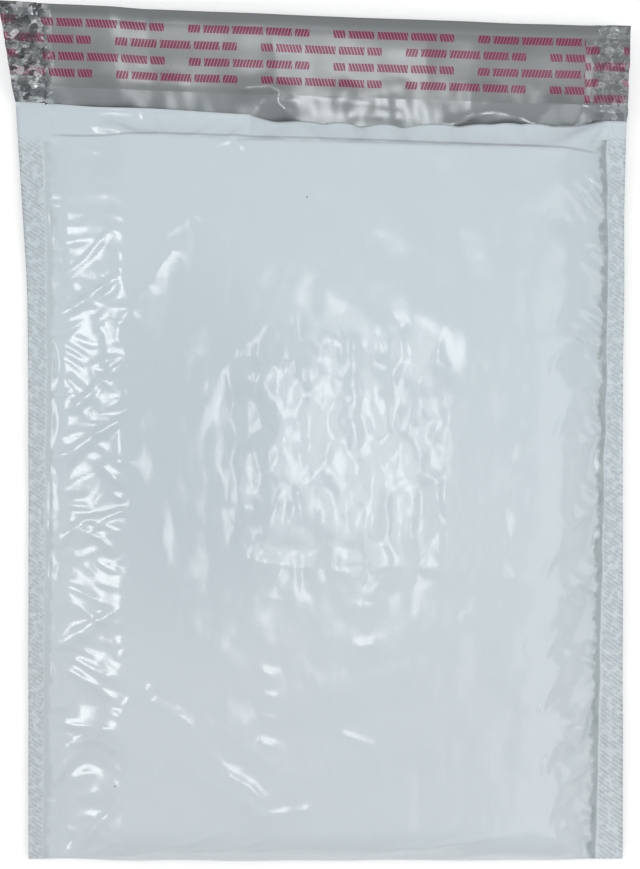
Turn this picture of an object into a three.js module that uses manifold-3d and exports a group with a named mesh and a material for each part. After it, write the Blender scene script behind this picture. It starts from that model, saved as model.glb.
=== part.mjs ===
// Padded mailing envelope: one web of polyethylene film, folded across the bottom and welded up both sides,
// lined with a folded sheet of bubble cushioning. The back panel runs on past the mouth as a flap that carries
// an adhesive strip under a peel-off liner. It lies on its back with the flap open.
// Millimetres. +X across the envelope, +Y from the bottom fold to the flap, +Z up out of the front panel.
import * as THREE from "three";
import { mergeVertices } from "three/addons/utils/BufferGeometryUtils.js";
import Module from "manifold-3d";

const wasm = await Module();
wasm.setup();

// Lengths along the envelope
const OVERALL_LENGTH = 305; // bottom fold to flap edge, 12 in
const FLAP_LENGTH = 36; // flap beyond the front panel's lip
const LIP_LENGTH = 7.5; // bare film between the lining's edge and the lip

// Widths across the envelope
const WAIST_WIDTH = 215; // the puffed body draws in to this, 8.5 in
const MOUTH_WIDTH = 220;
const FLAP_WIDTH = 224; // the web's own flat width
const SEAL_WIDTH = 9.5; // welded band up each side

// Thicknesses and heights
const FILM = 0.3; // film wall
const LINING = 4; // bubble sheet, 5/32 in
const CLEARANCE = 0.3; // between film and lining
const CROWN = 16.6; // front panel above the table along the middle
const CROWN_AT_LINING_EDGE = 15.4;
const CROWN_AT_LIP = 11.4;
const SEAL_LIFT = 1.6; // underside of the welded bands above the table
const FLAP_CURL = 3.4; // the flap's free edge rises this far

// How quickly the panels swell away from the welds and the bottom fold
const FRONT_SHOULDER = 30;
const BACK_SHOULDER = 18;
const FOLD_RUN = 14;
const SHOULDER_POWER = 2.4;
const CROWN_FALL = 70; // the crown starts to fall this far below the lining's edge

// Flap closure
const LINER_HEIGHT = 25;
const LINER_FROM_FLAP_EDGE = 4.5;
const LINER_THICKNESS = 0.2;
const ADHESIVE_HEIGHT = 20;
const ADHESIVE_SIDE_MARGIN = 8;
const ADHESIVE_THICKNESS = 0.2;
const LAYER_GAP = 0.15; // between film, adhesive and liner

// Places along Y, with the envelope's box centred on the origin
const Y_BOTTOM = -OVERALL_LENGTH / 2;
const Y_FLAP_EDGE = OVERALL_LENGTH / 2;
const Y_LIP = Y_FLAP_EDGE - FLAP_LENGTH;
const Y_LINING_EDGE = Y_LIP - LIP_LENGTH;

const SEAL_TOP = SEAL_LIFT + 2 * FILM;
const LINING_SIDE_INSET = 2.5; // the lining stops this far inside the weld
const LINING_FOLD_INSET = 1.2; // and this far inside the bottom fold

const share = (value, from, to) => THREE.MathUtils.clamp((value - from) / (to - from), 0, 1);
const smooth = (value, from, to) => THREE.MathUtils.smoothstep(value, from, to);

// Half the outline's width: narrowest at the waist, wider at the mouth, widest at the flap's edge.
function halfWidth(y) {
  if (y > Y_LIP) {
    return THREE.MathUtils.lerp(MOUTH_WIDTH, FLAP_WIDTH, share(y, Y_LIP, Y_FLAP_EDGE)) / 2;
  }
  return THREE.MathUtils.lerp(WAIST_WIDTH, MOUTH_WIDTH, share(y, 0, Y_LIP) ** 2) / 2;
}

const weldLine = (y) => halfWidth(y) - SEAL_WIDTH;

// From 0 at a weld to 1 where the panel is clear of it.
function swell(distance, run) {
  return 1 - (1 - share(distance, 0, run)) ** SHOULDER_POWER;
}

// From 0 at the bottom fold to 1, as the round of an ellipse.
function foldRound(y) {
  const past = 1 - share(y, Y_BOTTOM, Y_BOTTOM + FOLD_RUN);
  return Math.sqrt(1 - past * past);
}

// Height of the front panel along the middle of the envelope.
function crown(y) {
  const towardsLining = smooth(y, Y_LINING_EDGE - CROWN_FALL, Y_LINING_EDGE);
  const main = THREE.MathUtils.lerp(CROWN, CROWN_AT_LINING_EDGE, towardsLining);
  return THREE.MathUtils.lerp(main, CROWN_AT_LIP, smooth(y, Y_LINING_EDGE, Y_LIP));
}

// Outer face of the front panel.
function frontZ(x, y) {
  const across = swell(weldLine(y) - Math.abs(x), FRONT_SHOULDER);
  return SEAL_TOP + (crown(y) - SEAL_TOP) * across * foldRound(y);
}

// Outer face of the back panel and of the flap that continues it. It is flat on the table in the middle.
function backZ(x, y) {
  const across = swell(weldLine(y) - Math.abs(x), BACK_SHOULDER);
  const alongFlap = share(y, Y_LIP, Y_FLAP_EDGE);
  const lift = SEAL_LIFT * (1 - across * foldRound(y)) * (1 - alongFlap);
  return lift + FLAP_CURL * alongFlap ** 2;
}

// Stations across a row, out to an edge: the flat middle, the swelling shoulder, the weld line and the edge.
// Every piece takes its stations from the same lines, so nested faces keep their clearance.
const INSIDE_WELD = [30, 18, 9, LINING_SIDE_INSET + LINING / 2, LINING_SIDE_INSET, FILM, 0];
function stationsAcross(y, edge) {
  const weld = weldLine(y);
  const lines = INSIDE_WELD.map((inset) => weld - inset).filter((x) => x < edge - FILM / 2);
  const right = [0, lines[0] / 2, ...lines, edge];
  return [...right.slice(1).reverse().map((x) => -x), ...right];
}

// A closed slab between two height fields, lofted through rows of stations from -Y to +Y.
function slab(rows, stations, bottom, top) {
  const across = stations(rows[0]).length;
  const ring = 2 * across;
  const positions = [];
  for (const y of rows) {
    const xs = stations(y);
    for (const x of xs) positions.push(x, y, bottom(x, y));
    for (const x of [...xs].reverse()) positions.push(x, y, top(x, y));
  }
  const index = [];
  for (let row = 0; row + 1 < rows.length; row++) {
    for (let i = 0; i < ring; i++) {
      const a = row * ring + i;
      const b = row * ring + ((i + 1) % ring);
      index.push(a, a + ring, b, b, a + ring, b + ring);
    }
  }
  const last = (rows.length - 1) * ring;
  for (let i = 0; i + 1 < across; i++) {
    const low = [i, i + 1];
    const high = [ring - 1 - i, ring - 2 - i];
    index.push(low[0], low[1], high[0], low[1], high[1], high[0]);
    index.push(last + low[0], last + high[0], last + low[1]);
    index.push(last + low[1], last + high[0], last + high[1]);
  }
  return new THREE.BufferGeometry()
    .setAttribute("position", new THREE.Float32BufferAttribute(positions, 3))
    .setIndex(index);
}

function solidOf(geometry) {
  const merged = mergeVertices(geometry, 1e-4);
  return new wasm.Manifold(
    new wasm.Mesh({
      numProp: 3,
      vertProperties: merged.attributes.position.array,
      triVerts: new Uint32Array(merged.index.array),
    }),
  );
}

function geometryOf(solid) {
  const made = solid.getMesh();
  const geometry = new THREE.BufferGeometry()
    .setAttribute("position", new THREE.BufferAttribute(made.vertProperties, 3))
    .setIndex(new THREE.BufferAttribute(made.triVerts, 1));
  geometry.computeVertexNormals();
  return geometry;
}

// Rows along Y: close together round the bottom fold, wide apart over the body, then the lip and the flap.
const FOLD_INSETS = [0, FILM, LINING_FOLD_INSET, 2.6, LINING_FOLD_INSET + LINING, 9, FOLD_RUN];
const foldRows = (inset) => FOLD_INSETS.filter((run) => run >= inset).map((run) => Y_BOTTOM + run);
const BODY_ROWS = [-100, -50, 0, 35, 53, 71, 89];
const LIP_ROWS = [Y_LINING_EDGE, (Y_LINING_EDGE + Y_LIP) / 2, Y_LIP];
const FLAP_STEPS = 6;
const FLAP_ROWS = Array.from({ length: FLAP_STEPS + 1 }, (_, i) => Y_LIP + (i * FLAP_LENGTH) / FLAP_STEPS);

// The film web: a pouch hollowed out by its cavity, with the front layer cut away over the flap.
function filmGeometry() {
  const across = (y) => stationsAcross(y, halfWidth(y));
  const outerRows = [...foldRows(0), ...BODY_ROWS, ...LIP_ROWS, ...FLAP_ROWS.slice(1)];
  const envelope = solidOf(slab(outerRows, across, backZ, frontZ));

  const past = 1; // the cavity runs this far out of the mouth
  const cavityRows = [...foldRows(FILM), ...BODY_ROWS, ...LIP_ROWS, Y_LIP + past];
  const cavityAcross = (y) => stationsAcross(y, weldLine(y) - FILM);
  const cavityFloor = (x, y) => backZ(x, y) + FILM + (y > Y_LIP ? FILM : 0);
  const cavityRoof = (x, y) => Math.max(frontZ(x, y) - FILM, cavityFloor(x, y) + FILM / 4);
  const cavity = solidOf(slab(cavityRows, cavityAcross, cavityFloor, cavityRoof));

  const clearRows = [...FLAP_ROWS, Y_FLAP_EDGE + past];
  const clearAcross = (y) => stationsAcross(y, halfWidth(y) + past);
  const aboveFlap = solidOf(slab(clearRows, clearAcross, (x, y) => backZ(x, y) + FILM, () => 2 * CROWN));

  return geometryOf(envelope.subtract(cavity).subtract(aboveFlap));
}

// Faces of the lining, a clearance inside the film.
const liningRoof = (x, y) => frontZ(x, y) - FILM - CLEARANCE;
const liningFloor = (x, y) => backZ(x, y) + FILM + CLEARANCE;

// One panel's thickness: full over the middle, pressed thin where the welds and the fold leave less room.
const PRESSED_SHARE = 0.42;
function liningThickness(x, y) {
  return Math.min(LINING, PRESSED_SHARE * (liningRoof(x, y) - liningFloor(x, y)));
}

// The bubble sheet: a folded pad, open at the mouth, with the pocket between its two panels.
function liningGeometry() {
  const side = (y) => weldLine(y) - LINING_SIDE_INSET;
  const padRows = [...foldRows(LINING_FOLD_INSET), ...BODY_ROWS, Y_LINING_EDGE];
  const pad = solidOf(slab(padRows, (y) => stationsAcross(y, side(y)), liningFloor, liningRoof));

  const past = 1;
  const pocketStart = LINING_FOLD_INSET + LINING;
  const pocketRows = [...foldRows(pocketStart), ...BODY_ROWS, Y_LINING_EDGE, Y_LINING_EDGE + past];
  const within = (y) => Math.min(y, Y_LINING_EDGE);
  const pocketFloor = (x, y) => liningFloor(x, within(y)) + liningThickness(x, within(y));
  const pocketRoof = (x, y) => liningRoof(x, within(y)) - liningThickness(x, within(y));
  const pocketAcross = (y) => stationsAcross(y, side(y) - LINING / 2);
  const pocket = solidOf(slab(pocketRows, pocketAcross, pocketFloor, pocketRoof));

  return geometryOf(pad.subtract(pocket));
}

// A thin strip laid across the flap, a height above its upper face.
function flapStripGeometry(fromEdge, height, sideMargin, above, thickness) {
  const high = Y_FLAP_EDGE - fromEdge;
  const rows = [high - height, ...FLAP_ROWS.filter((y) => y > high - height && y < high), high];
  const across = (y) => stationsAcross(y, halfWidth(y) - sideMargin);
  const lower = (x, y) => backZ(x, y) + FILM + above;
  return slab(rows, across, lower, (x, y) => lower(x, y) + thickness);
}

function adhesiveGeometry() {
  const fromEdge = LINER_FROM_FLAP_EDGE + (LINER_HEIGHT - ADHESIVE_HEIGHT) / 2;
  return flapStripGeometry(fromEdge, ADHESIVE_HEIGHT, ADHESIVE_SIDE_MARGIN, LAYER_GAP, ADHESIVE_THICKNESS);
}

function linerGeometry() {
  const above = ADHESIVE_THICKNESS + 2 * LAYER_GAP;
  return flapStripGeometry(LINER_FROM_FLAP_EDGE, LINER_HEIGHT, 0, above, LINER_THICKNESS);
}

function piece(name, geometry, color, roughness, metalness = 0) {
  const material = new THREE.MeshStandardMaterial({ color, roughness, metalness });
  const mesh = new THREE.Mesh(geometry, material);
  mesh.name = name;
  return mesh;
}

const envelope = new THREE.Group();
envelope.add(piece("outer_film", filmGeometry(), 0xc5cfd5, 0.3));
envelope.add(piece("bubble_lining", liningGeometry(), 0xdfe5e8, 0.25));
envelope.add(piece("adhesive_strip", adhesiveGeometry(), 0xd8d2b8, 0.5));
envelope.add(piece("release_liner", linerGeometry(), 0x9aa1a4, 0.35));

export default envelope;
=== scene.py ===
# Padded mailing envelope, lying face up with its flap open.
# Lengths are in millimetres until a mesh is made.
import math

import bpy
import numpy as np
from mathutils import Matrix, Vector


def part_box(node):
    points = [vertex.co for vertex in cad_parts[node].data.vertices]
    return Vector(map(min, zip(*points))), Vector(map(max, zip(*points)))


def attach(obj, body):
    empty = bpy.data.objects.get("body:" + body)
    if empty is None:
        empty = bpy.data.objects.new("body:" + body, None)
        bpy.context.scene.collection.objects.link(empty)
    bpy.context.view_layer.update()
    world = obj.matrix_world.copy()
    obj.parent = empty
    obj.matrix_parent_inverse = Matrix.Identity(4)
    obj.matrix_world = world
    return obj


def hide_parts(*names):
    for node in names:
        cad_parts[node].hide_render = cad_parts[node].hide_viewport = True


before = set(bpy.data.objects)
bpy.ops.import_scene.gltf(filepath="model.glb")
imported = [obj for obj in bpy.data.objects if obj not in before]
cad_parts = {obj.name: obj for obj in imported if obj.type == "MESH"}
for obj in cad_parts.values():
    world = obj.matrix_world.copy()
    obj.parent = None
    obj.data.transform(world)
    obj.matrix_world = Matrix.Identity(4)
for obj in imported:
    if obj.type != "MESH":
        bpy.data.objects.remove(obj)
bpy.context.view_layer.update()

# Bubble lining: one sheet of clear polyethylene with air-filled domes, folded at the bottom of the pouch
# with its flat side to the pocket and its domes to the film. Its side edges are caught in the welds.
film_low, film_high = (np.array(corner) * 1000 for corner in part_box("outer_film"))
lining_high = np.array(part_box("bubble_lining")[1]) * 1000
bottom = film_low[1]
flap_edge = film_high[1]
flap_length = 36
lip = flap_edge - flap_length
lining_setback = 4
lining_edge = lining_high[1] - lining_setback
lining_margin = 2.6
waist_width = 214
mouth_width = 220
seam_place = 100.4
left_seam_taper, right_seam_taper = 0.008, 0.022
left_foot, right_foot = 4.8, 2
left_head, right_head = 29.5, 17
mouth_skew = 0.0327
mouth_lean, flap_lean = 1.6, 1.8
weld_height = 2
shoulder_rise = 10
dome_rise = 3.4
fold_run = 14
lining_thickness = 4
bubble_pitch = 10.8
bubble_radius = 4.8
dome_corners = 10
dome_rings = [(1, 0), (0.98, 0.5), (0.8, 0.84), (0.42, 0.97)]
dome_top = 0.95
dome_margin = 6
clear_tints = (0.72, 0.78, 0.8), (0.82, 0.87, 0.88)


def ease(low, high, value):
    share = np.clip((value - low) / (high - low), 0, 1)
    return share * share * (3 - 2 * share)


def half_width(y):
    return (waist_width + (mouth_width - waist_width) * np.clip(y / lip, 0, 1) ** 2) / 2


def seams(y):
    """Where the side welds end towards the pouch: the right one grows wider towards the bottom."""
    uneven = 0.3 * ripple(y * 0, y, 22, 91)
    return -seam_place + left_seam_taper * y + uneven, seam_place + right_seam_taper * y + uneven


def inset(x, y):
    """How far a place on the pouch lies in from the nearer weld."""
    left, right = seams(y)
    return np.where(x < 0, x - left, right - x)


def between_seams(share, y, margin=0):
    """The place across the pouch at a share from -1 to 1."""
    left, right = seams(y)
    return (left + right) / 2 + share * ((right - left) / 2 - margin)


def swell(inset, run):
    return 1 - (1 - np.clip(inset / run, 0, 1)) ** 2.4


def shoulder(x, y):
    """Rise of the front panel in from its welds: a ramp past a flat margin, longer on the left."""
    depth = inset(x, y)
    foot = np.where(x < 0, left_foot + 1.7 * ripple(y * 0, y, 21, 93), right_foot)
    head = np.where(x < 0, left_head, right_head) + np.where(x < 0, 2, 3.5) * ripple(y * 0, y, 17, 94)
    from_foot = depth - foot + np.hypot(depth - foot, 3)
    from_head = depth - head + np.hypot(depth - head, 5)
    return (from_foot - from_head) / 2 / (head - foot)


def fold_round(y):
    return np.sqrt(1 - (1 - np.clip((y - bottom) / fold_run, 0, 1)) ** 2)


def front_height(x, y):
    fullness = 1 - 0.06 * ease(lining_edge - 70, lining_edge, y) - 0.24 * ease(lining_edge, lip, y)
    fullness = fullness * (1 - 0.6 * ease(65, lip, y) * ease(-55, -88, x))
    rise = shoulder_rise + dome_rise * (1 - (x / 100) ** 2)
    return weld_height + rise * fullness * shoulder(x, y) * fold_round(y)


def back_height(x, y):
    return (weld_height - 0.4) * (1 - swell(inset(x, y), 18) * fold_round(y))


def ripple(x, y, wavelength, seed):
    """Smooth seeded unevenness of about one wavelength, from -1 to 1."""
    waves = np.random.default_rng(seed)
    total = np.zeros_like(x)
    for _ in range(9):
        turn, phase = waves.uniform(0, 2 * math.pi, 2)
        number = 2 * math.pi / (wavelength * waves.uniform(0.75, 1.35))
        total = total + np.cos(number * (x * math.cos(turn) + y * math.sin(turn)) + phase)
    return total / 4


def bubble_centres(x, y):
    """The nearest dome of each of the two staggered sets of columns."""
    column = bubble_pitch * math.sqrt(3) / 2
    for shift in (0, 1):
        centre_x = (np.round((x / column - shift) / 2) * 2 + shift) * column
        centre_y = (np.round(y / bubble_pitch - shift / 2) + shift / 2) * bubble_pitch
        yield centre_x, centre_y


def bubble_dome(x, y):
    """1 on top of a dome, 0 between domes. Some domes have lost air."""
    height = np.zeros_like(x)
    for centre_x, centre_y in bubble_centres(x, y):
        reach = ((x - centre_x) ** 2 + (y - centre_y) ** 2) / bubble_radius**2
        fullness = 0.7 + 0.3 * np.sin(centre_x * 12.9898 + centre_y * 78.233)
        height = np.maximum(height, fullness * np.sqrt(np.clip(1 - reach, 0, 1)))
    return height


def lie(points):
    """The envelope lies a little askew: towards the mouth its left side runs on and the flap leans left."""
    x, y = points[..., 0].copy(), points[..., 1].copy()
    towards_mouth = ease(bottom + 60, lip, y)
    past_lip = np.clip((y - lip) / flap_length, 0, 1)
    points[..., 1] = y - mouth_skew * x * towards_mouth
    points[..., 0] = x - mouth_lean * ease(40, lip, y) - flap_lean * past_lip
    return points


def mesh_piece(name, points, faces, materials, face_material=None):
    mesh = bpy.data.meshes.new(name)
    mesh.from_pydata((points / 1000).tolist(), [], faces)
    for material in materials:
        mesh.materials.append(material)
    if face_material is not None:
        mesh.polygons.foreach_set("material_index", np.asarray(face_material, np.int32))
    mesh.shade_smooth()
    piece = bpy.data.objects.new(name, mesh)
    bpy.context.scene.collection.objects.link(piece)
    return piece


def grid_faces(index):
    """Quads over a grid of point numbers, facing up where rows run towards -Y and columns towards +X."""
    corners = index[:-1, :-1], index[1:, :-1], index[1:, 1:], index[:-1, 1:]
    return np.stack(corners, -1).reshape(-1, 4).tolist()


class Field:
    """A value that varies over a surface: an output socket whose arithmetic adds Math nodes."""

    def __init__(self, socket):
        self.socket = socket

    def node(self, kind, settings=None, sockets=None, output=0):
        tree = self.socket.id_data
        made = tree.nodes.new("ShaderNode" + kind)
        for name, value in (settings or {}).items():
            setattr(made, name, value)
        for name, value in (sockets or {}).items():
            if isinstance(value, Field):
                tree.links.new(value.socket, made.inputs[name])
            else:
                made.inputs[name].default_value = value
        return Field(made.outputs[output])

    def maths(self, operation, *values):
        return self.node("Math", {"operation": operation}, dict(enumerate(values)))

    def __add__(self, other):
        return self.maths("ADD", self, other)

    def __radd__(self, other):
        return self.maths("ADD", other, self)

    def __sub__(self, other):
        return self.maths("SUBTRACT", self, other)

    def __rsub__(self, other):
        return self.maths("SUBTRACT", other, self)

    def __mul__(self, other):
        return self.maths("MULTIPLY", self, other)

    def __rmul__(self, other):
        return self.maths("MULTIPLY", other, self)

    def __truediv__(self, other):
        return self.maths("DIVIDE", self, other)

    def __lt__(self, other):
        return self.maths("LESS_THAN", self, other)

    def __gt__(self, other):
        return self.maths("GREATER_THAN", self, other)


def surface(name, **constants):
    """A material with one Principled shader, given its fixed values, with the fields of place on it."""
    material = bpy.data.materials.new(name)
    material.use_nodes = True
    shader = material.node_tree.nodes["Principled BSDF"]
    for socket, value in constants.items():
        shader.inputs[socket.replace("_", " ")].default_value = value
    place = Field(material.node_tree.nodes.new("ShaderNodeTexCoord").outputs["Object"])
    split = place.node("SeparateXYZ", sockets={0: place}).socket.node
    x, y = (Field(split.outputs[axis]) * 1000 for axis in "XY")
    return material, shader, place, x, y


def feed(shader, socket, field):
    shader.id_data.links.new(field.socket, shader.inputs[socket])


def blend(field, low, high):
    """A colour between two, by a field from 0 to 1."""
    return field.node("Mix", {"data_type": "RGBA"}, {0: field, 6: (*low, 1), 7: (*high, 1)}, output=2)


def over(under, colour, share):
    """A colour laid over a colour field by a share from 0 to 1."""
    return under.node("Mix", {"data_type": "RGBA"}, {0: share, 6: under, 7: (*colour, 1)}, output=2)


def noise(place, size, detail=2):
    """Noise of about one size in millimetres, from 0 to 1."""
    return place.node("TexNoise", sockets={"Vector": place, "Scale": 1000 / size, "Detail": detail})


def bump(shader, height):
    """Fine relief from a height field in millimetres."""
    sockets = {"Height": height, "Distance": 0.001, "Strength": 1}
    feed(shader, "Normal", height.node("Bump", sockets=sockets))


def pad_height(x, y):
    """Top of the lining's domes under the front film, which is free of them near the welds and the lip."""
    depth = inset(x, y)
    flat = np.where(x < 0, ease(18, 33, depth), ease(6, 18, depth))
    uneven = 0.3 * ripple(x, y, 60, 3) + 0.12 * ripple(x, y, 24, 5) + 0.04 * ripple(x, y, 9, 8)
    uneven = uneven + 0.09 * (bubble_dome(x, y) - 1)
    top = front_height(x, y) - 0.3 + flat * uneven - 1.2 * (1 - flat)
    return np.maximum(np.where(y < lining_edge, top, weld_height), back_height(x, y) + 1)


def lining_points(x, y, front, lift):
    """Points on the pocket side of the lining's front or back panel, lifted towards the film by a share."""
    back_side = back_height(x, y) + 0.3
    shy = 0.4 + 1.2 * (1 - ease(26, 38, inset(x, y)))
    front_side = np.maximum(pad_height(x, y) - shy, back_side + 0.25)
    room = front_side - back_side
    thickness = np.minimum(lining_thickness, 0.42 * room) * (1 - lift)
    if front:
        return np.stack([x, y, front_side - thickness], -1)
    return np.stack([x, y, back_side + thickness], -1)


def bubble_sheet():
    """Both panels of the lining with their domes. Rows draw closer round the fold at the bottom."""
    fold_rows = bottom + np.array([12, 9, 7, 6, 5.2])
    rows = np.concatenate([np.linspace(lining_edge, bottom + 16, 50), fold_rows])
    across = np.linspace(-1, 1, 41)
    grid_y, grid_q = np.meshgrid(rows, across, indexing="ij")
    grid_x = between_seams(grid_q, grid_y, lining_margin)
    front = lining_points(grid_x, grid_y, True, 0)
    back = lining_points(grid_x, grid_y, False, 0)[::-1]
    web = np.concatenate([front, back])
    points = [web.reshape(-1, 3)]
    faces = grid_faces(np.arange(web[..., 0].size).reshape(web.shape[:2]))

    angles = np.linspace(0, 2 * math.pi, dome_corners, endpoint=False)
    turn = np.arange(dome_corners)
    after = (turn + 1) % dome_corners
    column = bubble_pitch * math.sqrt(3) / 2
    count = web[..., 0].size
    for front_side in (True, False):
        for i in range(-10, 11):
            for j in range(-16, 12):
                centre = np.array([i * column, (j + (i % 2) / 2) * bubble_pitch])
                clear = min(lining_edge - centre[1], centre[1] - bottom - 9, inset(*centre))
                if clear < bubble_radius + dome_margin:
                    continue
                first = count
                for radius, lift in dome_rings:
                    ring_x = centre[0] + bubble_radius * radius * np.cos(angles)
                    ring_y = centre[1] + bubble_radius * radius * np.sin(angles)
                    points.append(lining_points(ring_x, ring_y, front_side, lift * dome_top))
                points.append(lining_points(centre[:1], centre[1:], front_side, dome_top))
                for low in first + dome_corners * np.arange(len(dome_rings) - 1):
                    high = low + dome_corners
                    quads = np.stack([low + turn, low + after, high + after, high + turn], -1)
                    faces += (quads if front_side else quads[:, ::-1]).tolist()
                top = first + dome_corners * len(dome_rings)
                last = top - dome_corners
                fan = np.stack([last + turn, last + after, np.full(dome_corners, top)], -1)
                faces += (fan if front_side else fan[:, ::-1]).tolist()
                count = top + 1
    return lie(np.concatenate(points)), faces


clear_film, shader, place, x, y = surface("clear_bubble_film", Roughness=0.2, IOR=1.5, Alpha=0.6)
feed(shader, "Base Color", blend(noise(place, 20), *clear_tints))
bump(shader, noise(place, 1.5) * 0.04)
lining = mesh_piece("bubble_lining_visual", *bubble_sheet(), [clear_film])
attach(lining, "root")
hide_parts("bubble_lining")

# Outer film: one web of co-extruded polyethylene, white outside and grey inside. It is folded across the
# bottom and hot-welded up both sides in a knurled band; its back panel runs on past the mouth as the flap.
# The front is settled over the lining by a spring grid, and its sharp creases are laid on afterwards.
cell = 1.0
film_gap = 0.2
weld_columns = 6
back_step = 4
mouth_depth = 14
flap_rows = 36
flap_reach = 33
flap_flare = 2
lip_sag = 4
grid_levels = ((3.3 * cell, 240), (1.7 * cell, 160), (cell, 110))
bend_stiffness = 0.06
press_down = 0.0006
smoothing_rounds = 40
random = np.random.default_rng(7)
warm_white, cool_white = (0.52, 0.573, 0.605), (0.515, 0.588, 0.63)
# Painted shade colour of a soft patch left of the middle of the front.
painted_shade_white = (0.4, 0.47, 0.515)
# Greys of painted shade: the knurl's grooves (which also make the welds a touch darker), the weld seams
# (also used for the real specks) and the lining's ridge line.
weld_tone_and_knurl_shade, seam_shade_and_speck_grey, painted_ridge_shade_grey = (0.36, 0.41, 0.43), (0.24, 0.28, 0.29), (0.2, 0.22, 0.24)
grey_tints = (0.21, 0.23, 0.24), (0.26, 0.28, 0.29)
flap_edge_grey = (0.17, 0.185, 0.19)
# Painted shade and painted highlight of the crumpled facets.
painted_facet_shade, painted_facet_highlight = (0.05, 0.055, 0.06), (0.6, 0.63, 0.65)
knurl_pitch = 1.35
dent_size = 8
facet_size = 2.4
relief_mean = 2.6
speck_places = ((-6.5, 83.9), (-74.6, -124.4))
front_creases = [
    # height, reach and route of each crease, first those of the left shoulder from top to bottom
    (0.3, 3.9, [(-92, 68), (-79.5, 77.7)]),
    (0.4, 2.9, [(-81.6, 84.3), (-71.8, 84)]),
    (0.9, 2.6, [(-72.8, 62.6), (-71.5, 50.4), (-74.6, 46.9), (-82.3, 45.9), (-89.3, 43.8)]),
    (0.8, 2.3, [(-79.8, 55.7), (-78.8, 51.1), (-85, 48), (-89.3, 44.1)]),
    (0.9, 2.3, [(-69, 44.1), (-77, 43.1), (-81.6, 39.3), (-78.8, 34.7), (-77.4, 29.5), (-78, 25.3)]),
    (0.9, 2.3, [(-78, 25.3), (-83.7, 23.2), (-83, 20.8), (-77, 17.3), (-80.5, 12.7)]),
    (0.8, 2.3, [(-69, 41.7), (-72.8, 38.2), (-73.5, 33), (-70.4, 27.7), (-71.8, 23.2), (-69.7, 20.1),
                (-76, 17.6)]),
    (0.8, 2.6, [(-92, 18.3), (-87.5, 15.5), (-80.5, 12)]),
    (0.9, 2.6, [(-92, 11.3), (-85.8, 6.8), (-78.8, 7.9), (-71.8, 12), (-71.5, 15.5)]),
    (0.9, 2.9, [(-92, -0.9), (-82.3, 0.2), (-72.5, 3.3), (-72.2, -8.9)]),
    (0.9, 2.9, [(-91.7, -18.7), (-84, -15.2), (-77, -10.6), (-70, -9.9)]),
    (0.7, 2.6, [(-82.3, -24.6), (-74.6, -15.9)]),
    (0.9, 2.9, [(-92, -35.4), (-78.8, -32.6), (-72.8, -34), (-84, -36.8), (-91, -36.8)]),
    (0.7, 2.9, [(-88, -43.8), (-78.8, -40.3)]),
    (0.6, 3.2, [(-85, -47.3), (-80.5, -50.8)]),
    (0.6, 3.9, [(-88.5, -56), (-72.5, -61.2)]),
    (0.6, 3.9, [(-85.8, -71.7), (-73.5, -75.2)]),
    (0.7, 3.2, [(-92, -84.6), (-82.3, -89.2), (-75.3, -94.4)]),
    (0.6, 3.2, [(-78.8, -81.5), (-71.8, -85.7)]),
    # the slanting ones above and below it
    (0.9, 2.6, [(-67, 47), (-63, 52)]),
    (0.85, 2.4, [(-60, 56), (-54, 64)]),
    (0.95, 2.4, [(-61, 64), (-55, 71), (-46, 77)]),
    (1.0, 2.6, [(-63.8, -89.2), (-62, -93.4), (-58.5, -94.8), (-51.6, -98.9)]),
    (0.6, 4.5, [(-49, -101.4), (-38.6, -113.6), (-33.4, -118.8)]),
    (0.4, 4.5, [(-40.4, -101.4), (-29.9, -108.4), (-19.5, -115.3)]),
    (0.5, 4.5, [(-54.4, -111.9), (-43.9, -120.6), (-35.2, -124.1)]),
    (0.9, 2.6, [(-34.1, -119.5), (-27.1, -123.4), (-22.2, -127.6)]),
    (0.9, 2.6, [(-27.5, -128.6), (-22.2, -133.8), (-7.2, -131.7)]),
    # the middle and the right side
    (0.4, 1.6, [(9.2, 33), (9.9, 25.3), (8.8, 19), (10.2, 12.7), (9.2, 6.8), (10.2, 0.9), (9.5, -3.7)]),
    (0.45, 4, [(-26.4, -43.8), (0, -47), (27.7, -45.5), (70, -50)]),
    (0.5, 1.6, [(-22, -83), (-19, -84)]),
    (0.4, 1.6, [(-22, -91), (-18.6, -92)]),
    (0.4, 1.6, [(-22, -99), (-18.6, -99.6)]),
    (0.5, 1.6, [(-22, -108), (-19, -109)]),
    (0.5, 2, [(12, -74), (17, -73)]),
    (0.4, 2, [(7, -105.5), (16, -109)]),
    (0.2, 2.5, [(12, -60), (18, -60.3)]),
    (0.3, 2.2, [(80.4, 28), (89.4, 15.5)]),
    (0.15, 2, [(52, -17), (54.5, -26)]),
]
flap_creases = [
    (0.35, 4, [(-68, 125.2), (-39.4, 125.1), (-21.4, 123.1), (3.5, 121.1), (28.6, 119.4)]),
    (1.5, 2.2, [(-27, 124.2), (-22.2, 124.8), (-18.6, 125.4), (-14.6, 123.4), (-15.8, 119.7),
                (-13, 117.3)]),
    (0.9, 2.5, [(47.9, 114.3), (55.4, 117.5), (63, 119.1), (72, 117.2), (77.7, 113.9)]),
    (1.1, 2.5, [(77.7, 116), (83.8, 121.6), (94.2, 122.3), (104.6, 119.4), (109.3, 117)]),
    (-0.7, 5, [(56, 112), (70, 112)]),
    (-0.9, 5, [(86, 115.5), (102, 114)]),
    (0.35, 3, [(38, 127), (39, 146)]),
    (0.25, 3, [(-15, 130), (-16, 146)]),
    (0.25, 4, [(-62, 127), (-63, 140)]),
]


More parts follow.
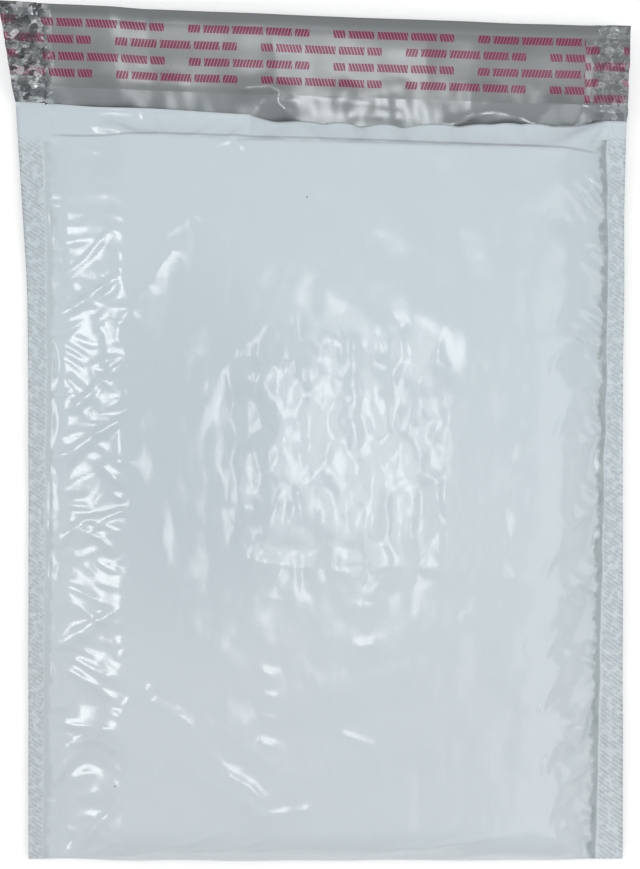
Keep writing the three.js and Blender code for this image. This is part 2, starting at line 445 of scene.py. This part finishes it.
def crease_height(x, y, creases):
    """Creases with a sharp crest, each steep on its upper side and gentle on its lower side."""
    total = np.zeros(x.shape)
    for height, reach, route in creases:
        nearest = np.full(x.shape, np.inf)
        above = np.zeros(x.shape)
        for start, end in zip(np.array(route[:-1]), np.array(route[1:])):
            run = end - start
            share = np.clip(((x - start[0]) * run[0] + (y - start[1]) * run[1]) / (run @ run), 0, 1)
            distance = np.hypot(x - start[0] - share * run[0], y - start[1] - share * run[1]) + 1e-6
            above = np.where(distance < nearest, (y - start[1] - share * run[1]) / distance, above)
            nearest = np.minimum(distance, nearest)
        total = total + height * np.exp(-nearest / (reach * (1.3 - 0.6 * above)))
    return total


def spare_length(x, y):
    """Spare film across and along the envelope, as shares of its length: most in the left shoulder."""
    left_shoulder = ease(-97, -91, x) * (1 - ease(-74, -66, x))
    midway = ease(-128, -30, y) * (1 - ease(47, 89, y))
    seam = 1 - ease(0, 10, inset(x, y))
    lip_waves = ease(lining_edge - 3, lip, y) * ease(-25, 0, x)
    along = left_shoulder * (0.003 + 0.011 * midway) + 0.012 * seam * (1 + 0.5 * ripple(x, y, 20, 61))
    return 0.0006 + 0.01 * lip_waves, 0.0004 + along


def puckers(x, y, pitch, lean, seed):
    """Wrinkles that run across the envelope, each with a sharp crest and a broad trough."""
    phase = (y + lean * x + 0.45 * pitch * ripple(x, y, 4 * pitch, seed)) / pitch
    crest = 1 - np.abs(2 * (phase - np.floor(phase)) - 1)
    return crest**2 * np.clip(0.5 + ripple(x, y, 2.5 * pitch, seed + 1), 0, 1.2)


def springs(base, across, along, bend):
    """Pairs of points with their rest length and stiffness, in sets whose pairs share no point."""
    rows, columns = base.shape[:2]
    length_x = np.linalg.norm(np.diff(base, axis=1), axis=-1) * (1 + across[:, :-1])
    length_y = np.linalg.norm(np.diff(base, axis=0), axis=-1) * (1 + along[:-1])
    diagonal = np.hypot((length_x[:-1] + length_x[1:]) / 2, (length_y[:, :-1] + length_y[:, 1:]) / 2)
    double_x = length_x[:, :-1] + length_x[:, 1:]
    double_y = length_y[:-1] + length_y[1:]
    every = slice(None)
    sets = []
    for odd in (0, 1):
        low, high = slice(odd, columns - 1, 2), slice(odd + 1, columns, 2)
        sets.append(((every, low), (every, high), length_x[:, low], 1))
        low, high = slice(odd, rows - 1, 2), slice(odd + 1, rows, 2)
        sets.append(((low, every), (high, every), length_y[low], 1))
        sets.append(((low, slice(0, -1)), (high, slice(1, None)), diagonal[low], 0.5))
        sets.append(((low, slice(1, None)), (high, slice(0, -1)), diagonal[low], 0.5))
    for phase in range(4):
        low, high = slice(phase, columns - 2, 4), slice(phase + 2, columns, 4)
        sets.append(((every, low), (every, high), double_x[:, low], bend))
        low, high = slice(phase, rows - 2, 4), slice(phase + 2, rows, 4)
        sets.append(((low, every), (high, every), double_y[low], bend))
    return sets


def settle(points, sets, held, floor, steps, press):
    """Let a film grid find its rest: springs pull it to length, and it lies on the floor under it."""
    before = points.copy()
    loose = (~held).astype(float)[..., None]
    for _ in range(steps):
        drift = 0.92 * (points - before) * loose
        before[:] = points
        points += drift
        points[..., 2] -= press * loose[..., 0]
        for low, high, length, stiffness in sets:
            gap = points[high] - points[low]
            distance = np.sqrt((gap * gap).sum(-1, keepdims=True)) + 1e-9
            weight = np.maximum(loose[low] + loose[high], 1e-6)
            pull = stiffness * (1 - length[..., None] / distance) / weight * gap
            points[low] += loose[low] * pull
            points[high] -= loose[high] * pull
        points[..., 2] = np.where(held, points[..., 2], np.maximum(points[..., 2], floor))
    return points


def finer(points, rows, columns):
    """The same film on a closer grid."""
    at_row = np.linspace(0, points.shape[0] - 1, rows)
    at_column = np.linspace(0, points.shape[1] - 1, columns)
    row = np.minimum(at_row.astype(int), points.shape[0] - 2)
    column = np.minimum(at_column.astype(int), points.shape[1] - 2)
    down, right = (at_row - row)[:, None, None], (at_column - column)[None, :, None]
    upper = points[row][:, column] * (1 - right) + points[row][:, column + 1] * right
    lower = points[row + 1][:, column] * (1 - right) + points[row + 1][:, column + 1] * right
    return upper * (1 - down) + lower * down


def front_film():
    """The front panel between the welds, settled on coarse grids first. Rows run from lip to bottom."""
    points = None
    for size, steps in grid_levels:
        columns = 2 * round(100 / size) + 1
        rows = round((lip - bottom - 1) / size) + 1
        y, q = np.meshgrid(np.linspace(lip, bottom + 1, rows), np.linspace(-1, 1, columns), indexing="ij")
        x = between_seams(q, y)
        sag = lip_sag * (1 - q**2) * ease(lining_edge - 12, lip, y)
        base = np.stack([x, y - sag, front_height(x, y)], -1)
        held = np.zeros(x.shape, bool)
        held[:, [0, -1]] = True
        held[-1] = True
        held[0] = x[0] < -25
        loose = (~held) * random.standard_normal(x.shape)
        if points is None:
            points = base.copy()
            points[..., 2] += 0.2 * loose
        else:
            points = finer(points, rows, columns)
            points[..., 2] += 0.02 * loose
        points[held] = base[held]
        sets = springs(base, *spare_length(x, y), bend_stiffness)
        points = settle(points, sets, held, pad_height(x, y), steps, press_down)
    taut = ease(32, 40, inset(x, y)) * ease(lining_edge - 3, lining_edge - 9, y)
    taut = taut * ease(bottom + 12, bottom + 20, y)
    height = points[..., 2]
    for _ in range(smoothing_rounds):
        around = height[:-2, 1:-1] + height[2:, 1:-1] + height[1:-1, :-2] + height[1:-1, 2:]
        height[1:-1, 1:-1] += taut[1:-1, 1:-1] * (around / 4 - height[1:-1, 1:-1])
    return points


def bubble_marks(x, y):
    """The lining's domes and the furrows between their columns, pressing through the tautest film."""
    taut = 0.25 + 0.75 * ease(1.3, 0.8, np.hypot((x - 6) / 37, (y + 8) / 45))
    wavering = x / (bubble_pitch * math.sqrt(3) / 2) + 0.12 * ripple(x * 0, y, 14, 85)
    furrow = ease(0.34, 0.5, np.abs(wavering - np.round(wavering))) * ease(-0.5, 0.5, ripple(x, y, 25, 86))
    total = -0.16 * furrow
    for centre_x, centre_y in bubble_centres(x, y):
        right, up = x - centre_x, y - centre_y
        inside = np.clip(1 - (right**2 + up**2) / bubble_radius**2, 0, 1)
        swelling, tilt_x, tilt_y = (
            np.sin(centre_x * turn + centre_y * (turn + 2.3)) for turn in (12.99, 78.23, 37.72)
        )
        total = total + inside * (0.07 + 0.05 * swelling + 0.05 * tilt_x * right + 0.05 * tilt_y * up)
    return total * taut * (0.4 + 0.6 * ease(-0.5, 0.4, ripple(x, y, 40, 83)))


def wrinkled(points):
    """The settled front with its sharp creases and the fine puckers of its left shoulder and its seams."""
    x, y = points[..., 0], points[..., 1]
    depth = inset(x, y)
    shoulder_zone = ease(3, 9, depth) * (1 - ease(26, 33, depth)) * (x < 0)
    shoulder_zone = shoulder_zone * (0.3 + 0.7 * (1 - ease(60, 95, y)))
    seam_zone = ease(0, 2, depth) * (1 - ease(7, 20, depth)) * (x > 0)
    seam_zone = seam_zone + 0.12 * ease(0, 1.5, depth) * (1 - ease(3, 9, depth)) * (x < 0)
    below_lip = ease(lining_edge, lining_edge - 6, y) * ease(bottom + 2, bottom + 12, y)
    height = crease_height(x, y, front_creases)
    height = height + 0.6 * shoulder_zone * puckers(x, y, 6.5, 0.2, 71)
    height = height + 1.5 * seam_zone * puckers(x, y, 9, 0.7, 75)
    height = height + 0.35 * ripple(x, y, 38, 87) + 0.11 * ripple(x, y * 0.6, 13, 88)
    height = height + ease(20, 36, depth) * bubble_marks(x, y)
    points[..., 2] += height * below_lip * ease(0, 2, depth)
    return points


def back_film(levels):
    """The back panel on the table, then the flap with its curl. Rows run from bottom to flap edge."""
    flap_levels = lip + flap_reach * np.linspace(0, 1, flap_rows + 1)[1:]
    y, q = np.meshgrid(np.r_[levels, flap_levels], np.linspace(-1, 1, settled.shape[1]), indexing="ij")
    past = np.maximum(y - lip, 0)
    x = between_seams(q, np.minimum(y, lip)) + flap_flare * q * past / flap_reach
    depth = inset(x, np.minimum(y, lip))
    body = back_height(x, np.minimum(y, lip)) + 0.25 * ease(0, 20, depth) * (1 + ripple(x, y, 38, 41))
    left = ease(70, -110, x)
    rise = ease(-10, 23, y - lip) * (4.5 + 1.1 * left) + ease(13, flap_reach, past) * (1.8 + 2.6 * left)
    rise = rise * (1 - (np.abs(q) > 0.94) * ease(4, -2, y - lip))
    rise = rise + ease(4, 14, past) * (0.3 * ripple(x, y * 0.3, 45, 11) + 0.12 * ripple(x, y, 20, 12))
    slack_zone = ease(-6, 0, y - lip) * (1 - ease(8, 14, past))
    slack_and_painted_shade = 0.3 + 0.7 * ease(-15, 15, x) + 0.5 * ease(-62, -72, x)
    rise = rise + slack_zone * slack_and_painted_shade * (0.3 * ripple(x, y, 16, 13) + 0.12 * ripple(x, y * 0.5, 7, 14))
    rise = rise + 1.8 * ease(-60, -74, x) * ease(-4, 12, y - lip)
    rise = rise + ease(lip - 9, lip - 2, y) * crease_height(x, y, flap_creases)
    ends = ease(-96, -101, x) + 0.5 * ease(96, 100, x)
    crumple = 1.5 * np.abs(ripple(x, y, 7, 15)) + 0.8 * np.abs(ripple(x, y, 3.5, 16))
    rise = rise + ends * ease(0, 3, past) * crumple
    return np.stack([x, y, np.maximum(body * (1 - 0.6 * ease(0, 10, past)) + rise, 0.1)], -1)


def with_welds(points, under):
    """Adds the welded band at each side of a panel's rows."""
    steps = np.linspace(0, 1, weld_columns + 1)[1:]
    sides = []
    for column, sign in ((0, -1), (-1, 1)):
        edge = points[:, column]
        band = np.repeat(edge[:, None], weld_columns, 1)
        past = np.maximum(edge[:, 1] - lip, 0)
        outside = sign * (half_width(np.minimum(edge[:, 1], lip)) + flap_flare * past / flap_reach)
        band[..., 0] += (outside - edge[:, 0])[:, None] * steps
        wave = 0.5 * ripple(edge[:, 1], edge[:, 1] * 0, 45, 31 + sign) + 0.2
        band[..., 2] += wave[:, None] * steps + under * 0.3 * steps
        sides.append(band)
    return np.concatenate([sides[0][:, ::-1], points, sides[1]], 1)


def folded_web(front, back):
    """Rows round the bottom fold, between the front and the back."""
    turn = np.linspace(0, 1, 9)[1:-1, None, None]
    outside = (front[-1] + back[0]) / 2
    outside[:, 1] = bottom - 1.2 + 0.5 * ripple(outside[:, 0], outside[:, 0] * 0, 40, 51)
    fold = front[-1] * (1 - turn) ** 2 + 2 * turn * (1 - turn) * outside + back[0] * turn**2
    return np.concatenate([front, fold, back])


settled = wrinkled(front_film())
front_levels = np.linspace(lip, bottom + 1, len(settled))
mouth_row = np.searchsorted(-front_levels, mouth_depth - lip)
coarse_rows = np.arange(len(settled) - 1, mouth_row, -back_step)
beside = np.r_[coarse_rows, mouth_row:-1:-1]
front = with_welds(settled, 0)
back = with_welds(back_film(front_levels[beside]), 1)
web = folded_web(front, back)
seam_depth = inset(web[..., 0], np.minimum(web[..., 1], lip))
web = lie(web)
web_rows, web_columns = web.shape[:2]
outward = np.cross(np.gradient(web, axis=0), np.gradient(web, axis=1))
outward /= np.linalg.norm(outward, axis=-1, keepdims=True)
outer = np.arange(web_rows * web_columns).reshape(web_rows, web_columns)
inner = outer + outer.size
lip_row = web_rows - 1 - flap_rows
back_start = web_rows - len(back)
mouth_row = back_start + len(coarse_rows)
pocket = slice(weld_columns, web_columns - weld_columns)
inner_faces = grid_faces(inner[0:mouth_depth, pocket]) + grid_faces(inner[mouth_row : lip_row + 1, pocket])
inner_faces = [face[::-1] for face in inner_faces + grid_faces(inner[lip_row:])]


def joined(edge, other):
    """A strip of quads between two rows of points."""
    return np.stack([edge[:-1], other[:-1], other[1:], edge[1:]], -1).tolist()


rims = joined(outer[0, pocket][::-1], inner[0, pocket][::-1]) + joined(outer[-1], inner[-1])
rims += joined(outer[lip_row:, 0][::-1], inner[lip_row:, 0][::-1])
rims += joined(outer[lip_row:, -1], inner[lip_row:, -1])
for side in (slice(0, weld_columns + 1), slice(web_columns - weld_columns - 1, web_columns)):
    rims += joined(outer[0, side][::-1], outer[lip_row, side][::-1])
for side, turn in ((0, 1), (-1, -1)):
    for step, (low, high) in enumerate(zip(beside[:-1], beside[1:])):
        back_edge = outer[back_start + step : back_start + step + 2, side]
        front_edge = outer[high : low + 1, side]
        rims.append(np.r_[back_edge, front_edge][::turn].tolist())
film_points = np.concatenate([web.reshape(-1, 3), (web - film_gap * outward).reshape(-1, 3)])
outer_faces = grid_faces(outer)
film_faces = outer_faces + rims + inner_faces
film_inside = [0] * (len(outer_faces) + len(rims)) + [1] * len(inner_faces)
used = np.unique(np.concatenate([np.ravel(face) for face in film_faces]))
renumber = np.zeros(len(film_points), int)
renumber[used] = np.arange(len(used))
film_faces = [renumber[face].tolist() for face in film_faces]


def between(field, low, high):
    """Rises smoothly from 0 to 1 as a field goes from low to high."""
    sockets = {"Value": field, "From Min": low, "From Max": high}
    return field.node("MapRange", {"interpolation_type": "SMOOTHSTEP"}, sockets)


def wave(field, pitch):
    """A sine wave of one pitch in millimetres, from -1 to 1."""
    turns = field * (2 * math.pi / pitch)
    return turns.maths("SINE", turns)


white_film, shader, place, x, y = surface("white_film", IOR=1.5, Coat_Weight=0.35, Coat_Roughness=0.11)
# Painted shade: a thin dark line along the lining's top edge, where the film steps down past it.
lining_line = y + mouth_skew * x - lining_edge
ridge_shade = between(lining_line.maths("ABSOLUTE", lining_line), 0.7, 0.1)
ridge_shade = 0.45 * ridge_shade * between(x.maths("ABSOLUTE", x), 101, 92)
feed(shader, "Roughness", 0.17 + 0.08 * noise(place, 18))
weld = place.node("Attribute", {"attribute_name": "weld"}, output=2)
seam = place.node("Attribute", {"attribute_name": "seam"}, output=2)
right_side = between(x, -20, 20)
# Painted shade: a dark jagged line along the inner edge of each weld, stronger on the right, with a broad
# band of shade inside the right weld.
past_weld = between(seam, -0.5, 0.1)
seam_shade = past_weld * between(seam - 6 * noise(place, 4, 3), 0, -1.8) * (0.25 + 0.4 * right_side)
seam_shade = seam_shade + 0.16 * right_side * between(seam, 8, 1) * past_weld
tick_across = 0.82 * y + 0.57 * x
knurl = wave(tick_across, knurl_pitch) * between(noise(place, 2.2), 0.35, 0.55)
# Painted shade: a soft darker patch left of the middle of the front.
shade_patch_x, shade_patch_y = (x + 48) / 55, (y + 6) / 85
slack_and_painted_shade = between(shade_patch_x * shade_patch_x + shade_patch_y * shade_patch_y, 1, 0)
tint = blend(between(y, -110, 60) + 0.6 * (noise(place, 60) - 0.5), warm_white, cool_white)
tint = over(tint, painted_shade_white, 0.4 * slack_and_painted_shade)
# The welds a touch darker, and painted shade in the knurl's grooves.
weld_and_knurl_shaded = over(tint, weld_tone_and_knurl_shade, weld * (0.02 - 0.4 * knurl))
specks = sum((x - side) * (x - side) + (y - up) * (y - up) < 0.12 for side, up in speck_places)
# The seams' painted shade and the real specks share one grey.
shaded = over(weld_and_knurl_shaded, seam_shade_and_speck_grey, seam_shade + specks)
feed(shader, "Base Color", over(shaded, painted_ridge_shade_grey, ridge_shade))
upright = place.node("VectorMath", {"operation": "MULTIPLY"}, {0: place, 1: (1, 0.6, 1)})
crinkle = noise(upright, 8, 1) - 0.5
taut_x, taut_y = (x - 5) / 40, (y + 6) / 48
outwards = taut_x * taut_x * taut_x * taut_x + taut_y * taut_y * taut_y * taut_y
taut = 0.22 + 0.78 * between(outwards, 1.5, 0.5)
dents = {"Vector": upright, "Scale": 1000 / dent_size, "Randomness": 0.9, "Smoothness": 0.5}
bubbles = place.node("TexVoronoi", {"feature": "SMOOTH_F1", "voronoi_dimensions": "2D"}, dents)
cushioned = 2.1 * noise(upright, 9, 1) + 0.6 * crinkle.maths("ABSOLUTE", crinkle) - 1.6 * bubbles * bubbles
cushioned = cushioned + 3.5 * noise(place, 27, 0) - relief_mean
loose_film = taut * cushioned + 0.02 * noise(place, 2.5)
bump(shader, weld * (0.18 * knurl + 0.35 * noise(place, 1.6)) + (1 - weld) * loose_film)

grey_film, shader, place, x, y = surface("grey_film", Roughness=0.22, Metallic=0.35, IOR=1.5)


def crumpled(place, x, colour):
    """The colour and height of film that is crumpled in small facets towards the flap's ends, with painted
    shade on some facets and painted highlight on others.
    """
    ends = between(x, -97, -101) + 0.35 * between(x, 95, 99)
    shift = {0: 0.003, 4: place, 5: noise(place, 2.5, 2)}
    shaken = place.node("Mix", {"data_type": "VECTOR"}, shift, output=1)
    facets = {"Vector": shaken, "Scale": 1000 / facet_size}
    tone = place.node("TexVoronoi", sockets=facets, output="Color") * 1
    # Painted shade on the darker facets and painted highlight on the lighter ones.
    darker = over(colour, painted_facet_shade, 0.8 * ends * between(tone, 0.62, 0.25))
    lighter = over(darker, painted_facet_highlight, 0.6 * ends * between(tone, 0.6, 0.8))
    return lighter, 1.3 * ends * place.node("TexVoronoi", sockets=facets)


grey = blend(noise(place, 30), *grey_tints)
grey = over(grey, flap_edge_grey, between(y + mouth_skew * x, flap_edge - 9, flap_edge - 5))
# The flap's crumpled ends get painted shade and painted highlight on their facets.
grey, facet_height = crumpled(place, x, grey)
feed(shader, "Base Color", grey)
bump(shader, 0.02 * noise(place, 3) + facet_height)

film = mesh_piece("outer_film_visual", film_points[used], film_faces, [white_film, grey_film], film_inside)
weld_share = np.zeros((web_rows, web_columns))
weld_share[:, :weld_columns] = 1
weld_share[:, -weld_columns:] = 1
below_lip = ease(lip - 6, lip - 14, web[..., 1])
for name, outer_values, inner_value in (
    ("weld", weld_share * below_lip, 0),
    ("seam", np.where(below_lip > 0.5, seam_depth, 20), 20),
):
    values = np.concatenate([outer_values.ravel(), np.full(outer.size, inner_value)])[used]
    attribute = film.data.attributes.new(name, "FLOAT", "POINT")
    attribute.data.foreach_set("value", values.astype(np.float32))
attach(film, "root")
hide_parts("outer_film")

# Adhesive strip: a band of pale pressure-sensitive hot-melt, coated straight onto the flap's grey side.
# It stays tacky under the release liner, which covers it.
adhesive_low, adhesive_high = (np.array(corner) * 1000 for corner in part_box("adhesive_strip"))
adhesive_tints = (0.62, 0.6, 0.5), (0.7, 0.67, 0.56)
adhesive_thickness = 0.08
end_columns = 5
edge_gap = 0.03


def flap_strip(low, high, side, lift):
    """A grid over the flap's inner face between two levels, lifted off it, with its long edges down."""
    first = lip_row + round((low - lip) * flap_rows / flap_length)
    last = lip_row + round((high - lip) * flap_rows / flap_length)
    part = slice(first, last + 1), slice(side, web_columns - side)
    rows = np.arange(last + 1 - first)
    inside = np.clip(np.minimum(rows, rows[::-1]) / 2, 0, 1)[:, None, None]
    return web[part] - (film_gap + edge_gap + (lift - edge_gap) * inside) * outward[part]


def film_strip(points):
    index = np.arange(points[..., 0].size).reshape(points.shape[:2])
    return points.reshape(-1, 3), [face[::-1] for face in grid_faces(index)]


hot_melt, shader, place, x, y = surface("hot_melt", Roughness=0.45, IOR=1.48)
feed(shader, "Base Color", blend(noise(place, 6), *adhesive_tints))
bump(shader, 0.1 * noise(place, 4))
adhesive_points = flap_strip(adhesive_low[1], adhesive_high[1], end_columns, adhesive_thickness)
adhesive = mesh_piece("adhesive_visual", *film_strip(adhesive_points), [hot_melt])
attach(adhesive, "root")
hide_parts("adhesive_strip")

# Release liner: a thin slick strip of coated film over the adhesive, printed in rows of dark pink hatching.
# It is held by the adhesive alone, and crimped with the film where the side welds cross it.
liner_low, liner_high = (np.array(corner) * 1000 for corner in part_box("release_liner"))
liner_thickness = 0.15
liner_tints = (0.165, 0.18, 0.185), (0.27, 0.285, 0.29)
# Painted shade: the liner is darker towards its right end.
liner_shade = (0.13, 0.14, 0.145)
print_colour = (0.2, 0.003, 0.06)
print_rows = 4
print_pitch = 5.55
first_row = 6.2
mark_height = 2.7
block_period = 51.8
block_start = -100.8
word_spans = ((0, 4.3), (5.4, 14.6), (15.7, 26.7), (27.8, 37), (38, 43.2))
stroke_pitch = 1.15
stroke_share = 0.78
splice = 93

liner_film, shader, place, x, y = surface("liner_film", IOR=1.5)
below_edge = lip + flap_reach - (y + mouth_skew * x) - 0.5 * print_pitch * (x > splice)
row = (below_edge - first_row + print_pitch / 2) / print_pitch
row_number = row.maths("FLOOR", row)
in_row = (row - row_number - 0.5) * print_pitch
row_mask = (in_row.maths("ABSOLUTE", in_row) < mark_height / 2) * (row_number > -0.5)
row_mask = row_mask * (row_number < print_rows - 0.5)
odd_row = row_number.maths("MODULO", row_number, 2)
block = (x - block_start) / block_period + 0.5 * odd_row + 4
block_number = block.maths("FLOOR", block)
in_block = (block - block_number) * block_period
slant = 0.7 * (block_number.maths("MODULO", block_number, 2) - 0.5)
stroke = (in_block + slant * in_row) / stroke_pitch
stroke = stroke - stroke.maths("FLOOR", stroke)
words = sum((in_block > start) * (in_block < end) for start, end in word_spans)
ink = row_mask * words * (stroke < stroke_share) * (0.85 + 0.3 * noise(place, 2))
sideways = place.node("VectorMath", {"operation": "MULTIPLY"}, {0: place, 1: (1, 0.15, 1)})
grey = blend(noise(sideways, 14), *liner_tints)
# Painted shade towards the right end of the liner.
grey = over(grey, liner_shade, 0.5 * between(x, 20, 90))
# The liner's crimped ends get the facets' painted shade and painted highlight.
printed, facet_height = crumpled(place, x, over(grey, print_colour, ink))
feed(shader, "Base Color", printed)
feed(shader, "Metallic", 0.4 * (1 - ink))
feed(shader, "Roughness", 0.24 + 0.12 * noise(place, 12))
bump(shader, 0.03 * noise(place, 3) + 0.5 * noise(sideways, 16, 1) + facet_height)
liner_points = flap_strip(liner_low[1], liner_high[1], 0, liner_thickness)
liner = mesh_piece("release_liner_visual", *film_strip(liner_points), [liner_film])
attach(liner, "root")
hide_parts("release_liner")

# Table, light and camera: a white table under a broad soft sky, with a softbox overhead, a tall one far out
# to the left and a weak fill to the right. The camera looks straight down from above the middle.
table_half = 3000
table_top = -0.2
table_colour = (0.9, 0.9, 0.9, 1)
table_glow = 0.12
table_white, shader, place, x, y = surface("table_white", Roughness=0.9)
shader.inputs["Base Color"].default_value = table_colour
shader.inputs["Emission Strength"].default_value = table_glow
seen = sum(place.node("LightPath", output=ray) for ray in ("Is Camera Ray", "Is Glossy Ray"))
feed(shader, "Emission Color", blend(seen, (0, 0, 0), (1, 1, 1)))
around = ((-1, -1), (1, -1), (1, 1), (-1, 1))
corners = np.array([(table_half * side, table_half * end, table_top) for side, end in around], float)
table = mesh_piece("table", corners, [[0, 1, 2, 3]], [table_white])

scene = bpy.context.scene
world = bpy.data.worlds.new("sky")
world.use_nodes = True
sky_tree = world.node_tree
direction = Field(sky_tree.nodes.new("ShaderNodeTexCoord").outputs["Generated"])
split = direction.node("SeparateXYZ", sockets={0: direction}).socket.node
towards_right = Field(split.outputs["X"])
towards_viewer = -1 * Field(split.outputs["Y"])
aside = (towards_right + 0.085) / 0.075
ahead = towards_viewer / 0.16
photographer = between(aside * aside + ahead * ahead, 1, 0)
sky_light = (0.8 - 0.15 * between(towards_viewer, 0, 0.8)) * (1 - 0.9 * photographer)
sky_tree.links.new(sky_light.socket, sky_tree.nodes["Background"].inputs["Strength"])
sky_tree.nodes["Background"].inputs["Color"].default_value = (1, 1, 1, 1)
scene.world = world


def softbox(name, place, aim, width, height, radiance):
    lamp = bpy.data.lights.new(name, "AREA")
    lamp.shape = "RECTANGLE"
    lamp.size = width / 1000
    lamp.size_y = height / 1000
    lamp.energy = radiance * math.pi * lamp.size * lamp.size_y
    box = bpy.data.objects.new(name, lamp)
    scene.collection.objects.link(box)
    towards = np.array(aim, float) - np.array(place, float)
    box.location = np.array(place) / 1000
    box.rotation_euler = Vector(towards).to_track_quat("-Z", "Y").to_euler()


softbox("overhead_softbox", (18, -18, 700), aim=(18, -18, 0), width=158, height=190, radiance=5.8)
softbox("left_softbox", (-1315, 40, 815), aim=(-85, 0, 5), width=430, height=480, radiance=6.5)
softbox("right_fill", (430, -130, 480), aim=(60, -30, 0), width=600, height=500, radiance=0.95)

camera_place = np.array((-2, 0.25, 550))
sensor = 36
photo_pixels = 869
pixel = 0.359
film_top = 4
camera_data = bpy.data.cameras.new("camera")
camera_data.sensor_fit = "VERTICAL"
camera_data.sensor_height = sensor
camera_data.lens = sensor * (camera_place[2] - film_top) / (photo_pixels * pixel)
camera = bpy.data.objects.new("camera", camera_data)
camera.location = camera_place / 1000
scene.collection.objects.link(camera)
scene.camera = camera
scene.view_settings.view_transform = "Standard"
